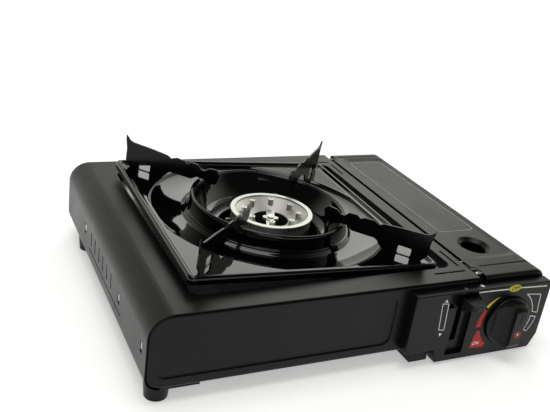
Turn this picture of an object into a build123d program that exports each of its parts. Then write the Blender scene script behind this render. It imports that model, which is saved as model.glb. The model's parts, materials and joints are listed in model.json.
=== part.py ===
"""Portable butane cassette stove: a sheet-steel body with an enamelled pan over an aluminium burner on the
left, and a lidded cartridge bay with regulator, control box and lock lever on the right.

Frame: millimetres, +X to the cartridge side, the controls face -Y, +Z up. The origin is on the table, under
the middle of the overall box.
"""

from build123d import *

import os
from math import atan2, cos, degrees, hypot, radians, sin

os.makedirs("parts", exist_ok=True)

# ---- overall size ----
body_width = 340.0          # outside of the left wall to outside of the lid's right edge
body_depth = 268.0          # sheet body, front to back
body_top = 72.0             # table to the top surface
panel_bottom = 12.0         # table to the underside of the burner side
fascia_proud = 9.0          # control box in front of the sheet body
knob_height = 15.0          # knob in front of the control box
sheet = 0.5                 # steel sheet of the body
gap = 0.3                   # room between neighbouring sheets
run = 0.06                  # radial running clearance of pins and shafts
seat_play = 0.05            # between pieces that rest on each other

overall_depth = body_depth + fascia_proud + knob_height
body_back = overall_depth / 2
body_front = body_back - body_depth
fascia_front = body_front - fascia_proud
knob_face = fascia_front - knob_height
body_left = -body_width / 2
body_right = body_width / 2

# ---- body shell ----
top_edge_radius = 18.0      # long left edge of the top
hem_radius = 12.0           # rolled-under lower edge of the left wall
seam_radius = 2.0           # edge of the top along the lid
seam_flange = 12.0          # turned-down edge along the lid
bay_width = 69.0            # cartridge side, wall to wall
seam_x = body_right - bay_width
opening_size = seam_x - body_left - 50.0  # square opening for the pan
opening_x = (body_left + seam_x) / 2 + 11.0
opening_y = (body_front + body_back) / 2 - 3.2
opening_corner = 8.0
liner_top = body_top - 9.5  # plate under the pan
liner_hole = 45.5           # radius left open round the burner
liner_lap = 5.0             # liner beyond the opening's lip
liner_corner = 6.0
groove_width = 1.8          # pressed L-shaped grooves beside the pan
groove_depth = 0.5
groove_gap = 7.0            # groove to the opening's edge
groove_long = 26.0
groove_short = 30.0
vent_count = 6
vent_pitch = 13.9
vent_width = 2.2
vent_height = 13.0
vent_z = (body_top + panel_bottom) / 2 + 0.2
vent_first_y = body_back - 99.6
wall_hole_length = 5.0
wall_hole_height = 8.5
wall_hole_z = vent_z - 0.7
wall_hole_y = (body_back - 76.0, body_front + 74.5, body_front + 11.7)
slit_height = 1.2           # long slit under the vents
slit_z = panel_bottom + 18.0
slit_length = 109.0
slit_back_y = body_back - 91.4

# ---- front and back panels ----
fascia_left = seam_x - 66.0
panel_flange = 12.0         # turned-in edge of a panel
panel_edge_radius = 2.5
panel_recess = 1.2          # pressed field
panel_border = 8.0
recess_corner = 7.0
recess_end_x = fascia_left - 10.0  # right end of the front panel's field
back_vent_count = 12
back_vent_pitch = 15.0
back_vent_width = 4.0
back_vent_z = (panel_bottom + 18.0, body_top - 18.0)
base_vent_count = 9
base_vent_pitch = 18.0
base_vent_width = 5.0
base_vent_length = 36.0
base_vent_reach = 62.0      # slots to the burner's axis

# ---- feet ----
foot_radius = 10.0
foot_sole_radius = 8.5
foot_left_x = body_left + 13.0
foot_right_x = seam_x - 47.0
foot_front_y = body_front + 12.0
foot_back_y = body_back - 34.0
foot_block_width = 17.0
foot_block_length = 22.0
foot_block_chamfer = 2.5
foot_cone_height = 18.0     # before the body's underside trims it
foot_flange_x = (foot_left_x + 4.0, foot_left_x + 29.0)
foot_flange_half = 8.0
foot_flange_sheet = 3.0
foot_proud = 3.0            # front right foot in front of the sheet body

# ---- burner ----
burner_x = opening_x - 2.0
burner_y = opening_y + 0.2
burner_top = body_top + 6.3
burner_radius = 35.7
burner_rim = 4.2            # bright flat rim
burner_edge = 1.2           # outer edge of the rim above the ports
burner_throat = 15.5        # radius of the open middle
cap_height = 9.5
dish_fall = 8.5             # rim to the foot of the cap's dish
port_count = 60
port_width = 1.7
port_height = 3.6
post_count = 8
post_circle = 23.5
post_radius = 2.3
post_bore = 0.8
hub_height = 2.6
hub_lobe = 2.9              # hub: four round lobes about the screw
hub_reach = 3.9
bridge_width = 7.0
bridge_height = 1.8
bridge_angle = -24.0        # the bar stands askew to the stove's depth
chamber_wall = 2.5          # casting under the cap
chamber_inset = 1.7         # chamber inside the cap's rim
chamber_taper = 8.0         # height of its rounded foot
burner_base = liner_top - 22.5  # underside of the burner casting
mixer_angle = -40.0         # mixing tube, seen from above, from +X
mixer_radius = 8.0
mixer_wall = 1.2
mixer_reach = 104.0         # burner axis to the tube's mouth
mixer_z = burner_base + 10.0
mixer_start = burner_radius - 5.5
air_window_x = (mixer_reach - 18.0, mixer_reach - 7.0)
air_window_half = 3.5
bracket_width = 22.0
bracket_sheet = 1.2
bracket_foot = 9.0
bracket_reach = 34.0        # burner axis to the right leg
bracket_hole = 8.0

# ---- pan, collar and pot supports, in the pan's own frame: height 0 is the top of its rim ----
pan_size = opening_size - 8.0
pan_corner = 5.0
pan_sheet = 0.6
pan_skirt = 6.5
pan_bead = 1.3
pan_floor = 2.5             # field below the rim
pan_floor_half = pan_size / 2 - 7.5
pan_slope = 4.0
dish_radius = pan_size / 2 - 5.0
dish_bend_radius = dish_radius - 5.0
dish_bend_depth = 5.2
dish_foot_radius = dish_radius - 16.0
dish_depth = 8.0
collar_foot = -5.0          # outer flange of the collar
collar_sheet = 0.6
neck_top = collar_foot - collar_sheet - seat_play  # shoulder that carries the collar
neck_inner = 64.0
neck_radius = 70.4
neck_foot_radius = 73.2
pan_x = opening_x - 5.9
pan_y = opening_y
pan_rim_z = body_top + 8.0  # rim plane above the table, at the pan's middle
pan_roll = 2.85             # the left edge rides on the body's top, degrees
pan_pitch = 0.8
pan_lug_width = 14.0
pan_lug_offset = 58.0
lug_play = 0.2
collar_radius = 66.3
collar_top = 7.6
bowl_radius = 46.0
bowl_depth = 13.0
arm_sheet = 1.5
arm_count = 4
arm_reach = pan_size / 2 ** 0.5 - 9.3   # pan's middle to the turned-up tip
arm_drawn_reach = 141.3     # reach at which the plate's outline below is drawn

# ---- cartridge bay ----
bay_bottom = 3.5
bay_radius = 10.0
bay_gap = 0.3               # seam between the body's top and the bay
cartridge_radius = 32.5
bay_wall_top = 61.0
bulkhead_y = body_front + 48.0  # plate that carries the regulator
bulkhead_sheet = 1.2
shield_gap = 3.3            # heat shield to the bay's inner wall
shield_front = bulkhead_y + 6.0
shield_foot = 8.0
shield_slot_count = 6
shield_slot_pitch = 30.0
shield_slot_length = 14.0
shield_slot_z = (28.0, 31.0)
shield_slot_start = 22.0    # first slot behind the shield's front edge

# ---- lid ----
lid_edge_radius = 9.5
lid_end_radius = 2.5
lid_skirt = 20.0            # right edge of the lid
lid_front_skirt = 10.5
lid_play = 0.6              # lid to the sheet body's ends
lid_overlap = 1.0           # lid's left edge to the left of the hinge axis
lid_field_x = (seam_x + 16.0, body_right - 11.5)
lid_field_y = (body_front + 34.0, body_back - 18.0)
lid_field_depth = 1.5
lid_field_corner = 4.0
lid_slope = 6.0             # width of the sloped border round the field
lid_hole_x = body_right - 34.7
lid_hole_y = body_front + 53.5
lid_hole_size = (20.0, 23.0)
lid_hole_lip = 4.5
lid_lip_depth = 3.2
lid_rib_depth = 0.4
lid_rib_width = 3.0
lid_rib_y = (body_front + 16.0, body_back - 9.0)
hinge_pin_radius = 1.3
hinge_x = seam_x + 3.0      # the ear turns clear of the body's edge
hinge_z = body_top - 2.4
hinge_ear = 7.0
hinge_lug = 3.0
hinge_wall = 1.0
hinge_inset = 12.0          # lug to the body's end
hinge_lug_drop = 5.0        # lug below the pin's axis
hinge_web = 7.0             # ear's reach under the lid

# ---- control box ----
fascia_top = body_top - 5.5
fascia_bottom = 2.5
fascia_step_x = seam_x - 38.0  # left column stops short of the table over the foot
fascia_step_z = panel_bottom + 3.0
fascia_wall = 2.0
fascia_corner = 6.0
fascia_bevel = 13.0         # slanted lower right corner
knob_x = body_right - 39.5
knob_z = body_top - 37.5
knob_radius = 21.3
knob_base = 4.0
knob_grip = 11.0
knob_round = 5.0            # rounding of the grip's ends
scoop_radius = 12.0         # hollow flank beside the grip
marker_width = 1.4
marker_length = 9.0
marker_depth = 0.4
spindle_cover = 4.0         # knob's skin over the end of its spindle
press_play = 0.02
well_play = 0.8
well_depth = 1.0
channel_x = (seam_x - 26.5, seam_x - 9.5)
channel_z = (fascia_bottom + 6.0, body_top - 18.0)
channel_head_x = (seam_x - 34.0, seam_x - 7.0)
channel_head_z = (body_top - 19.0, body_top - 6.8)
channel_depth = 4.0
lever_x = seam_x - 19.0
lever_slot = 5.4
lever_stem = 5.0
lever_stem_height = 8.0
lever_z = body_top - 18.0
lever_travel = 30.0
tab_rear_x = (lever_x - 3.5, lever_x + 14.0)   # finger tab, where it meets the control box
tab_tip_x = (lever_x - 0.5, lever_x + 10.0)
tab_top = lever_z + 7.0
tab_fall = 1.6              # its upper face drops towards the tip
tab_edge = 3.0              # thickness at the tip
tab_root = 12.0             # thickness at the control box
lever_proud = 13.0
spindle_radius = 3.0
fascia_screw_x = (seam_x - 18.0, seam_x - 1.0)
fascia_screw_head = 1.7

# ---- lock linkage ----
crank_x = seam_x - 8.0
crank_sheet = 2.0
crank_y = body_front + 35.0
crank_z = lever_z - lever_travel / 2
crank_long = lever_travel   # pivot to the tip in the lever's fork
crank_swing = 60.0          # a travel of one arm length each way from level: 30 degrees up, 30 down
crank_short = 7.0           # pivot to the tip in the bar's lug
crank_tip = 2.0
crank_hub = 5.0
crank_pin_radius = 2.0
fork_play = 0.35
bar_sheet = 1.5
bar_x = seam_x + bay_gap - bar_sheet - 0.2
bar_z = (crank_z + 4.5, crank_z + 14.5)
pusher_y = body_back - 21.0
bar_back_y = pusher_y + 3.0
pusher_sheet = 1.5
pusher_travel = crank_short * 2 * sin(radians(crank_swing / 2))

# ---- gas parts ----
regulator_radius = 20.0
regulator_depth = 18.0
cover_radius = 23.0
cover_depth = 5.0
valve_radius = 8.0
jet_radius = 2.5
jet_plug = 5.0              # length inside the mixing tube
jet_flange = 3.0
jet_neck_radius = 4.5
jet_neck = 8.0
jet_bore = 0.5
pipe_radius = 2.5
lead_radius = 1.2
lead_z = panel_bottom + 8.0
ceramic_radius = 3.0
ceramic_low = burner_base - 10.0
ceramic_high = burner_top - 14.3
valve_length = 22.0
seat_radius = 8.0           # nozzle seat for the cartridge
seat_length = 7.0
seat_bore = 3.0
spindle_bore = 16.0
igniter_width = 14.0
igniter_depth = 18.0
igniter_z = (knob_z - 17.5, knob_z + 11.5)
igniter_clamp = 3.0         # clamp ring round the valve neck
igniter_clamp_depth = 6.0
saddle_depth = 8.0
saddle_top = bay_bottom + 12.0
cover_screw_circle = 18.0
screw_radius = 1.5
screw_head = 2.8
screw_head_height = 1.1


# ---- helpers ----
def box(x, y, z):
    """Block between two values on each axis."""
    low = (min(x), min(y), min(z))
    size = (max(x) - low[0], max(y) - low[1], max(z) - low[2])
    return Pos(*low) * Box(*size, align=(Align.MIN, Align.MIN, Align.MIN))


def rod(x, y, z, radius, length, axis="Z"):
    """Cylinder that starts at a point and runs along a positive axis."""
    turn = {"X": Rot(0, 90, 0), "Y": Rot(-90, 0, 0), "Z": Rot(0, 0, 0)}[axis]
    solid = Cylinder(radius, length, align=(Align.CENTER, Align.CENTER, Align.MIN))
    return Pos(x, y, z) * turn * solid


def outline(points, radii):
    """Closed face in the plane of X and Y with one radius for each corner."""
    line = FilletPolyline(*points, radius=radii, close=True)
    return make_face(line)


def along_y(face, start, length):
    """Stands a face drawn in X and Z upright and extrudes it towards +Y."""
    upright = Pos(0, start, 0) * Rot(90, 0, 0) * face
    return extrude(upright, amount=length, dir=(0, 1, 0))


def slab(width, length, z, corner):
    """Rounded rectangle about the origin between two heights."""
    face = RectangleRounded(width, length, corner)
    return Pos(0, 0, min(z)) * extrude(face, amount=max(z) - min(z))


def offset_path(points, thickness):
    """Points moved to the right of a path by a thickness, with mitred corners."""
    moved = []
    count = len(points)
    for i, (x, y) in enumerate(points):
        before = points[max(i - 1, 0)]
        after = points[min(i + 1, count - 1)]
        sides = []
        for a, b in ((before, (x, y)), ((x, y), after)):
            length = hypot(b[0] - a[0], b[1] - a[1])
            if length > 0:
                sides.append(((b[1] - a[1]) / length, -(b[0] - a[0]) / length))
        normal_x = sum(s[0] for s in sides) / len(sides)
        normal_y = sum(s[1] for s in sides) / len(sides)
        scale = thickness / (normal_x ** 2 + normal_y ** 2)
        moved.append((x + normal_x * scale, y + normal_y * scale))
    return moved


def spun_sheet(points, thickness):
    """Pressed ring: a path of radius and height with a thickness, spun about +Z."""
    closed = points + offset_path(points, thickness)[::-1]
    face = make_face(Polyline(*closed, close=True))
    return revolve(Rot(90, 0, 0) * face, Axis.Z)


def save(node, shape):
    """Writes one node, as a compound of its solids."""
    solids = shape.solids() if hasattr(shape, "solids") else ShapeList(shape)
    whole = solids[0] if len(solids) == 1 else Compound(children=list(solids))
    whole.label = node
    export_step(whole, "parts/" + node + ".step")
    print(node, len(solids), round(sum(s.volume for s in solids)))


# ---- sheet body ----
def body_face(inset):
    """Section of the burner side, moved in by an inset."""
    points = [
        (body_left + inset, panel_bottom + inset),
        (body_left + inset, body_top - inset),
        (seam_x - inset, body_top - inset),
        (seam_x - inset, panel_bottom + inset),
    ]
    radii = [hem_radius - inset, top_edge_radius - inset, max(seam_radius - inset, 0.3), 0.3]
    return outline(points, radii)


def body_section(inset, start, length):
    return along_y(body_face(inset), start, length)


def opening_block(extra, z):
    """Pan opening as a block, grown by an extra on every side."""
    size = opening_size + 2 * extra
    return Pos(opening_x, opening_y, 0) * slab(size, size, z, opening_corner + extra)


def l_grooves(z):
    """Four pressed grooves that turn round the opening's right-hand corners."""
    edge_x = opening_x + opening_size / 2 + groove_gap
    grooves = []
    for side in (-1, 1):
        edge_y = opening_y + side * (opening_size / 2 + groove_gap)
        near = edge_y - side * groove_gap
        grooves.append(
            box((edge_x - groove_width, edge_x), (near, near - side * groove_long), z)
        )
        grooves.append(
            box((edge_x - groove_short, edge_x), (edge_y - groove_width, edge_y), z)
        )
    return grooves


def left_wall_cuts():
    """Vent slots, round holes and the long slit of the left wall."""
    wall = (body_left - 1, body_left + 2)
    cuts = []
    for i in range(vent_count):
        y = vent_first_y - i * vent_pitch
        cuts.append(
            box(
                wall,
                (y - vent_width / 2, y + vent_width / 2),
                (vent_z - vent_height / 2, vent_z + vent_height / 2),
            )
        )
    for y in wall_hole_y:
        cuts.append(
            box(
                wall,
                (y - wall_hole_length / 2, y + wall_hole_length / 2),
                (wall_hole_z - wall_hole_height / 2, wall_hole_z + wall_hole_height / 2),
            )
        )
    cuts.append(
        box(wall, (slit_back_y - slit_length, slit_back_y), (slit_z, slit_z + slit_height))
    )
    return cuts


def top_shell():
    shell = body_section(0, body_front, body_depth) - body_section(sheet, body_front, body_depth)
    shell -= box(
        (body_left + hem_radius, seam_x + 1),
        (body_front - 1, body_back + 1),
        (0, body_top - seam_flange),
    )
    shell -= opening_block(0, (body_top - 5, body_top + 5))
    lip = opening_block(sheet, (liner_top, body_top - sheet / 2))
    lip -= opening_block(0, (liner_top - 1, body_top + 1))
    shell += lip
    for cut in l_grooves((body_top - groove_depth, body_top + 1)) + left_wall_cuts():
        shell -= cut
    for side, end in ((1, body_front), (-1, body_back)):
        lug_y = end + side * hinge_inset
        lug = box(
            (seam_x - sheet, hinge_x + hinge_pin_radius + hinge_wall),
            (lug_y, lug_y + side * hinge_lug),
            (hinge_z - hinge_lug_drop, body_top),
        )
        shell += lug
        shell -= rod(hinge_x, min(lug_y, lug_y + side * hinge_lug) - 1, hinge_z, hinge_pin_radius,
                     hinge_lug + 2, "Y")
    return shell


def pressed_panel(front, outward, field_end):
    """Tray-shaped end panel with a pressed field; outward is -1 for the front and 1 for the back."""
    inset = sheet + gap
    start = front if outward < 0 else front - panel_flange
    block = body_section(inset, start, panel_flange)
    end = 0 if outward < 0 else -1
    block = fillet(block.faces().sort_by(Axis.Y)[end].edges(), panel_edge_radius)
    hollow_start = start + sheet if outward < 0 else start - 1
    hollow = body_section(inset + sheet, hollow_start, panel_flange + 1 - sheet)
    hollow = fillet(hollow.faces().sort_by(Axis.Y)[end].edges(), panel_edge_radius - sheet)
    low_x = body_left + inset + panel_border
    high_x = field_end
    width = high_x - low_x
    height = body_top - panel_bottom - 2 * (inset + panel_border)
    middle = Pos((low_x + high_x) / 2, (body_top + panel_bottom) / 2, 0)
    field = middle * RectangleRounded(width, height, recess_corner)
    back_field = middle * RectangleRounded(width + 2 * sheet, height + 2 * sheet, recess_corner)
    inner = front - outward * sheet
    depth = panel_recess
    if outward < 0:
        hollow -= along_y(back_field, inner - 0.01, depth + 0.01)
        pocket = along_y(field, front - 1, depth + 1)
    else:
        hollow -= along_y(back_field, inner - depth, depth + 0.01)
        pocket = along_y(field, front - depth, depth + 1)
    return block - hollow - pocket


def front_panel():
    panel = pressed_panel(body_front, -1, recess_end_x)
    slot_low = lever_z - lever_travel - lever_stem_height / 2 - 1
    slot_high = lever_z + lever_stem_height / 2 + 1
    panel -= box(
        (lever_x - lever_slot / 2, lever_x + lever_slot / 2),
        (body_front - 1, body_front + sheet + 0.1),
        (slot_low, slot_high),
    )
    return panel


def back_panel():
    panel = pressed_panel(body_back, 1, seam_x - sheet - gap - panel_border)
    first = opening_x - back_vent_pitch * (back_vent_count - 1) / 2
    for i in range(back_vent_count):
        x = first + i * back_vent_pitch
        panel -= box(
            (x - back_vent_width / 2, x + back_vent_width / 2),
            (body_back - 4, body_back + 1),
            back_vent_z,
        )
    return panel


def base_tray():
    low = panel_bottom + sheet + gap + sheet
    tray = box(
        (body_left + hem_radius + 4, seam_x - 2.5),
        (body_front + panel_edge_radius + gap, body_back - panel_edge_radius - gap),
        (low, low + sheet),
    )
    for side in (-1, 1):
        for i in range(base_vent_count):
            x = opening_x + (i - (base_vent_count - 1) / 2) * base_vent_pitch
            y = burner_y + side * base_vent_reach
            tray -= box(
                (x - base_vent_width / 2, x + base_vent_width / 2),
                (y - base_vent_length / 2, y + base_vent_length / 2),
                (low - 1, low + 1),
            )
    return tray


def base_level():
    """Upper face of the base tray."""
    return panel_bottom + gap + 3 * sheet


def feet():
    body = body_section(-gap / 2, body_front - 20, body_depth + 40)
    made = {}
    for name, y in (("foot_front_left", foot_front_y), ("foot_rear_left", foot_back_y)):
        cone = Pos(foot_left_x, y, 0) * Cone(
            foot_sole_radius, foot_radius, foot_cone_height,
            align=(Align.CENTER, Align.CENTER, Align.MIN),
        )
        flange = box(
            foot_flange_x,
            (y - foot_flange_half, y + foot_flange_half),
            (panel_bottom - foot_flange_sheet, panel_bottom),
        )
        made[name] = (cone + flange) - body
    panel_under = panel_bottom + sheet + gap - seat_play
    tray_under = panel_under + sheet
    front_y = body_front - foot_proud + foot_block_length / 2
    for name, y, top in (
        ("foot_front_right", front_y, panel_under),
        ("foot_rear_right", foot_back_y, tray_under),
    ):
        block = box(
            (foot_right_x - foot_block_width / 2, foot_right_x + foot_block_width / 2),
            (y - foot_block_length / 2, y + foot_block_length / 2),
            (0, top),
        )
        made[name] = chamfer(block.edges().group_by(Axis.Z)[0], foot_block_chamfer)
    return made


# ---- plates inside the body ----
def liner_plate():
    """Bright plate that closes the body under the pan, open round the burner."""
    reach = opening_size + 2 * (sheet + liner_lap)
    level = (liner_top - sheet, liner_top)
    plate = Pos(opening_x, opening_y, 0) * slab(reach, reach, level, liner_corner)
    return plate - rod(burner_x, burner_y, liner_top - 1, liner_hole, 2)


def heat_shield():
    """Upright plate between the burner and the cartridge, folded out at its foot."""
    low = base_level()
    x = seam_x - shield_gap - sheet
    length = (shield_front, body_back - panel_flange - gap)
    wall = box((x, x + sheet), length, (low, body_top - sheet - gap))
    foot = box((x - shield_foot, x), length, (low, low + sheet))
    for i in range(shield_slot_count):
        y = shield_front + shield_slot_start + i * shield_slot_pitch
        wall -= box((x - 1, x + 2), (y, y + shield_slot_length), shield_slot_z)
    return wall + foot


def burner_bracket():
    """Bridge that stands on the base tray and carries the burner and the electrode."""
    low = base_level()
    half = bracket_width / 2
    ends = (electrode_x() - bracket_hole, burner_x + bracket_reach)
    top = box(ends, (burner_y - half, burner_y + half), (burner_base - bracket_sheet, burner_base))
    bracket = top - rod(burner_x, burner_y, burner_base - 5, bracket_hole, 10)
    for x, side in ((ends[0], -1), (ends[1], 1)):
        leg = (x, x - side * bracket_sheet)
        bracket += box(leg, (burner_y - half, burner_y + half), (low, burner_base))
        foot = (x, x + side * bracket_foot)
        bracket += box(foot, (burner_y - half, burner_y + half), (low, low + bracket_sheet))
    bracket -= rod(electrode_x(), burner_y, burner_base - 5, ceramic_radius + run, 10)
    return bracket


# ---- burner ----
def burner_body():
    """Cast annular chamber with an open throat and a socket for the mixing tube."""
    seat = burner_top - cap_height
    wall = chamber_wall
    outer = burner_radius - chamber_inset
    points = [
        (burner_throat, burner_base),
        (outer - chamber_taper / 2, burner_base),
        (outer, burner_base + chamber_taper),
        (outer, seat),
        (outer - wall, seat),
        (outer - wall, burner_base + chamber_taper + 1),
        (outer - chamber_taper / 2 - 1.5, burner_base + wall),
        (burner_throat + wall, burner_base + wall),
        (burner_throat + wall, seat),
        (burner_throat, seat),
    ]
    casting = revolve(Rot(90, 0, 0) * make_face(Polyline(*points, close=True)), Axis.Z)
    socket = rod(mixer_start - 4, 0, 0, mixer_radius, mixer_radius + 12, "X")
    casting -= Pos(0, 0, mixer_z) * Rot(0, 0, mixer_angle) * socket
    return Pos(burner_x, burner_y, 0) * casting


def burner_cap():
    """Ring with a bright rim, flame ports round its edge and short jet posts in its dish."""
    seat = burner_top - cap_height
    band = burner_radius - 1.2
    edge = burner_top - burner_edge
    step = burner_radius - burner_rim
    points = [
        (burner_throat, seat),
        (band, seat),
        (band, edge),
        (burner_radius, edge + 0.4),
        (burner_radius, burner_top - 0.3),
        (burner_radius - 0.3, burner_top),
        (step, burner_top),
        (step - 0.4, burner_top - 1.3),
        (burner_throat, burner_top - dish_fall),
    ]
    cap = revolve(Rot(90, 0, 0) * make_face(Polyline(*points, close=True)), Axis.Z)
    slot = box(
        (band - 2.4, band + 1),
        (-port_width / 2, port_width / 2),
        (edge - 0.3 - port_height, edge - 0.3),
    )
    cap -= [Rot(0, 0, 360 / port_count * i) * slot for i in range(port_count)]
    for i in range(post_count):
        turn = Rot(0, 0, 360 / post_count * (i + 0.5))
        cap += turn * rod(post_circle, 0, burner_top - 7.0, post_radius, 7.0)
        cap -= turn * rod(post_circle, 0, burner_top - 3.0, post_bore, 5.0)
    hub = rod(0, 0, seat, hub_reach, hub_height)
    for i in range(4):
        hub += Rot(0, 0, 90 * i) * rod(hub_reach, 0, seat, hub_lobe, hub_height)
    bridge = box(
        (-bridge_width / 2, bridge_width / 2),
        (-burner_throat - 1, burner_throat + 1),
        (seat, seat + bridge_height),
    )
    cap += Rot(0, 0, bridge_angle) * (bridge + hub)
    cap -= rod(0, 0, seat - 1, screw_radius, cap_height)
    return Pos(burner_x, burner_y, 0) * cap


def burner_screw():
    seat = burner_top - cap_height + hub_height
    shank = rod(burner_x, burner_y, seat - 6, screw_radius, 6)
    head = rod(burner_x, burner_y, seat, screw_head, screw_head_height)
    return shank + head - box(
        (burner_x - screw_head, burner_x + screw_head),
        (burner_y - 0.4, burner_y + 0.4),
        (seat + screw_head_height - 0.8, seat + 5),
    )


def mixer_frame():
    """Place on the burner's axis with +X along the mixing tube."""
    return Pos(burner_x, burner_y, mixer_z) * Rot(0, 0, mixer_angle)


def mixing_tube():
    """Tube from the chamber to the jet, with two air windows behind its mouth."""
    tube = rod(mixer_start, 0, 0, mixer_radius, mixer_reach - mixer_start, "X")
    tube -= rod(mixer_start - 1, 0, 0, mixer_radius - mixer_wall, mixer_reach, "X")
    for side in (-1, 1):
        tube -= box(
            air_window_x,
            (side * air_window_half, side * (mixer_radius + 1)),
            (-air_window_half, air_window_half),
        )
    return mixer_frame() * tube


def gas_jet():
    """Brass jet that plugs the mouth of the mixing tube."""
    plug = mixer_radius - mixer_wall - run
    tip = mixer_reach - jet_plug - 7
    jet = rod(mixer_reach - jet_plug, 0, 0, plug, jet_plug, "X")
    jet += rod(mixer_reach, 0, 0, mixer_radius, jet_flange, "X")
    jet += rod(mixer_reach + jet_flange, 0, 0, jet_neck_radius, jet_neck, "X")
    jet += rod(tip, 0, 0, jet_radius, jet_plug + 3, "X")
    jet -= rod(tip - 1, 0, 0, jet_bore, 2 * jet_plug, "X")
    return mixer_frame() * jet


def jet_end():
    """Where the gas pipe meets the jet."""
    reach = mixer_reach + jet_flange + jet_neck
    turn = radians(mixer_angle)
    return (burner_x + reach * cos(turn), burner_y + reach * sin(turn), mixer_z)


def pipe_y():
    return bulkhead_y - pipe_radius - 2.5


def gas_pipe():
    """Aluminium pipe from the regulator's left side to the jet, under the lock bar."""
    start = jet_end()
    turn = radians(mixer_angle)
    reach = (pipe_y() - start[1]) / sin(turn)
    corner = (start[0] + reach * cos(turn), pipe_y(), mixer_z)
    points = [
        start,
        corner,
        (corner[0] + 12, pipe_y(), knob_z),
        (knob_x - regulator_radius + 1, pipe_y(), knob_z),
    ]
    path = FilletPolyline(*points, radius=6.0)
    section = Plane(origin=start, z_dir=path % 0) * Circle(pipe_radius)
    return sweep(section, path) - regulator_disc()


# ---- regulator and valve ----
def regulator_disc():
    return rod(knob_x, bulkhead_y - regulator_depth, knob_z, regulator_radius, regulator_depth, "Y")


def cartridge_x():
    return (seam_x + bay_gap + body_right - sheet - gap) / 2


def cartridge_z():
    return bay_bottom + sheet + cartridge_radius


def regulator_body():
    """Die-cast regulator with the cartridge's nozzle seat behind and the valve neck in front."""
    body = regulator_disc()
    front = bulkhead_y - regulator_depth
    body += rod(knob_x, front - valve_length, knob_z, valve_radius, valve_length, "Y")
    body += rod(cartridge_x(), bulkhead_y, cartridge_z(), seat_radius, seat_length, "Y")
    body -= rod(cartridge_x(), bulkhead_y - 1, cartridge_z(), seat_bore, seat_length + 2, "Y")
    body -= rod(knob_x, front - valve_length - 1, knob_z, spindle_radius + run, spindle_bore, "Y")
    return body


def regulator_cover():
    """Diaphragm cover over the front of the regulator, round the valve neck."""
    front = bulkhead_y - regulator_depth
    cover = rod(knob_x, front - cover_depth, knob_z, cover_radius, cover_depth, "Y")
    cover = fillet(cover.edges().group_by(Axis.Y)[0], 2)
    return cover - rod(knob_x, front - cover_depth - 1, knob_z, valve_radius + run, 20, "Y")


def bulkhead():
    """Plate across the bay that carries the regulator and locates the cartridge's neck."""
    plate = along_y(bay_face(sheet + 0.1), bulkhead_y, bulkhead_sheet)
    plate -= box((0, 200), (bulkhead_y - 5, bulkhead_y + 5), (bay_wall_top - 3, 100))
    plate -= rod(cartridge_x(), bulkhead_y - 2, cartridge_z(), seat_radius + run, 5, "Y")
    return plate


def valve_spindle():
    start = knob_face + spindle_cover
    end = bulkhead_y - regulator_depth - valve_length + 13
    return rod(knob_x, start, knob_z, spindle_radius, end - start, "Y")


def piezo_igniter():
    """Hammer igniter clamped beside the valve neck."""
    x = knob_x + valve_radius + 0.1
    y = bulkhead_y - regulator_depth - cover_depth
    body = box((x, x + igniter_width), (y - igniter_depth, y - 0.2), igniter_z)
    body = fillet(body.edges().filter_by(Axis.Y), 2)
    clamp = rod(
        knob_x, y - 12, knob_z, valve_radius + igniter_clamp, igniter_clamp_depth, "Y"
    )
    clamp -= rod(knob_x, y - 13, knob_z, valve_radius + run, igniter_clamp_depth + 4, "Y")
    return body + clamp


def electrode_x():
    return burner_x - burner_radius - 5.5


def ignition_lead():
    """Insulated wire from the igniter to the foot of the electrode, laid over the base tray."""
    y = bulkhead_y - regulator_depth - cover_depth - 8
    start = (knob_x + valve_radius + 0.1, y, lead_z)
    points = [
        start,
        (fascia_step_x, y, lead_z),
        (burner_x + 33.5, burner_y - 75, lead_z),
        (electrode_x() + 14, burner_y - 43, lead_z),
        (electrode_x(), burner_y - 9, lead_z),
        (electrode_x(), burner_y, lead_z + 3),
        (electrode_x(), burner_y, ceramic_low),
    ]
    path = FilletPolyline(*points, radius=[14, 20, 20, 4, 1.4])
    section = Plane(origin=start, z_dir=path % 0) * Circle(lead_radius)
    return sweep(section, path)


def electrode_ceramic():
    tube = rod(electrode_x(), burner_y, ceramic_low, ceramic_radius, ceramic_high - ceramic_low)
    return tube - rod(electrode_x(), burner_y, ceramic_low - 1, 0.9, 60)


def electrode_pin():
    """Steel wire up the ceramic and bent over to the flame ports."""
    top = burner_top - 6
    pin = rod(electrode_x(), burner_y, ceramic_low + 1, 0.85, top - ceramic_low - 1)
    return pin + rod(electrode_x() - 0.85, burner_y, top, 0.85, 4.2, "X")


# ---- cartridge bay ----
def bay_face(inset):
    left = seam_x + bay_gap + inset
    right = body_right - sheet - gap - inset
    points = [
        (left, bay_bottom + inset),
        (left, bay_wall_top + 20),
        (right, bay_wall_top + 20),
        (right, bay_bottom + inset),
    ]
    radius = bay_radius - inset
    return outline(points, [radius, 0.3, 0.3, radius])


def bay_tray():
    """Trough under the cartridge, with end walls and openings in its inner wall."""
    tray = along_y(bay_face(0), body_front, body_depth)
    tray -= along_y(bay_face(sheet), body_front + sheet, body_depth - 2 * sheet)
    tray -= box((0, 200), (-200, 200), (bay_wall_top, 200))
    wall = (seam_x, seam_x + 3)
    tray -= rod(wall[0], pipe_y(), knob_z, pipe_radius + 0.6, 4, "X")
    tray -= rod(wall[0], crank_y, crank_z, crank_pin_radius, 4, "X")
    lead_y = bulkhead_y - regulator_depth - cover_depth - 8
    tray -= rod(wall[0], lead_y, lead_z, lead_radius + 0.6, 4, "X")
    tray -= box(
        wall,
        (pusher_y - pusher_travel - 1.5, pusher_y + pusher_sheet + 1.5),
        (bar_z[0] - 26, bar_z[1] + 2),
    )
    tray -= rod(knob_x, body_front - 1, knob_z, valve_radius + 2, 5, "Y")
    return tray


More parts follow.
